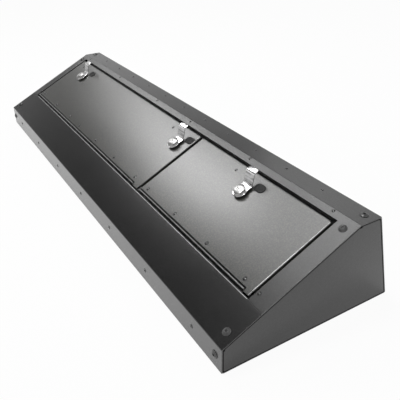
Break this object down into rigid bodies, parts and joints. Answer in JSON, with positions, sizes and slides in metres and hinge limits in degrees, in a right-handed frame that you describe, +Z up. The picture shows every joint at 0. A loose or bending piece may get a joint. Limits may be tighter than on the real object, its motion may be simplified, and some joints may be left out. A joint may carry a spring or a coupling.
{
  "type": "under-seat lockbox",
  "caption": "Long wedge-shaped under-seat lockbox of black sheet steel, with piano-hinged doors in its sloping lid and chrome quarter-turn key latches.",
  "frame": {"origin": "middle of the box's footprint, on the floor it stands on", "axes": "+X along the box to its right end (seen from the front), +Y to the back wall, +Z up"},
  "size_m": [1.38, 0.4084, 0.2177],
  "materials": {
    "black_steel": "satin, fine-textured powder coat",
    "chrome": "polished",
    "zinc_steel": "dull zinc plating",
    "black_plastic": "matte",
    "rubber": "matte"
  },
  "bodies": {
    "box": {"top_cover": "black_steel", "floor_pan": "black_steel", "end_cap_right": "black_steel", "end_cap_left": "black_steel", "upper_ledge_right": "black_steel", "upper_ledge_left": "black_steel", "side_ledge_right": "black_steel", "side_ledge_left": "black_steel", "cross_member": "black_steel", "seal_right_door": "rubber", "seal_left_door": "rubber", "cross_seal": "rubber", "ledge_rivets": "black_steel", "top_rivets": "black_steel", "front_rivets": "black_steel", "back_rivets": "black_steel", "end_screws_right": "black_steel", "end_screws_left": "black_steel", "end_nuts_right": "zinc_steel", "end_nuts_left": "zinc_steel", "frame_leaf_right": "black_steel", "frame_leaf_left": "black_steel", "hinge_pin_right": "zinc_steel", "hinge_pin_left": "zinc_steel"},
    "door_right": {"door_right": "black_steel", "door_leaf_right": "black_steel", "door_rivets_right": "black_steel", "door_stiffener_right": "black_steel", "bushing_right": "black_plastic", "bushing_nut_right": "zinc_steel", "pad_right": "rubber", "tongue_stop_right": "zinc_steel"},
    "door_left": {"door_left": "black_steel", "door_leaf_left": "black_steel", "door_rivets_left": "black_steel", "door_stiffener_left": "black_steel", "bushing_middle": "black_plastic", "bushing_nut_middle": "zinc_steel", "pad_middle": "rubber", "tongue_stop_middle": "zinc_steel", "bushing_far": "black_plastic", "bushing_nut_far": "zinc_steel", "pad_far": "rubber", "tongue_stop_far": "zinc_steel"},
    "latch_right": {"lever_right": "chrome", "lock_spindle_right": "chrome", "tongue_right": "zinc_steel", "tongue_nut_right": "zinc_steel"},
    "latch_middle": {"lever_middle": "chrome", "lock_spindle_middle": "chrome", "tongue_middle": "zinc_steel", "tongue_nut_middle": "zinc_steel"},
    "latch_far": {"lever_far": "chrome", "lock_spindle_far": "chrome", "tongue_far": "zinc_steel", "tongue_nut_far": "zinc_steel"}
  },
  "joints": [
    {"name": "open_door_right", "type": "hinge", "parent": "box", "child": "door_right", "pos_m": [0, -0.11096, 0.10198], "axis": [1, 0, 0], "range_deg": [0, 160]},
    {"name": "open_door_left", "type": "hinge", "parent": "box", "child": "door_left", "pos_m": [0, -0.11096, 0.10198], "axis": [1, 0, 0], "range_deg": [0, 160]},
    {"name": "turn_right", "type": "hinge", "parent": "door_right", "child": "latch_right", "pos_m": [0.424, 0.01957, 0.16704], "axis": [0, -0.44, 0.898], "range_deg": [-90, 0]},
    {"name": "turn_middle", "type": "hinge", "parent": "door_left", "child": "latch_middle", "pos_m": [0.1295, 0.01957, 0.16704], "axis": [0, -0.44, 0.898], "range_deg": [-90, 0]},
    {"name": "turn_far", "type": "hinge", "parent": "door_left", "child": "latch_far", "pos_m": [-0.543, 0.01957, 0.16704], "axis": [0, -0.44, 0.898], "range_deg": [-90, 0]}
  ]
}
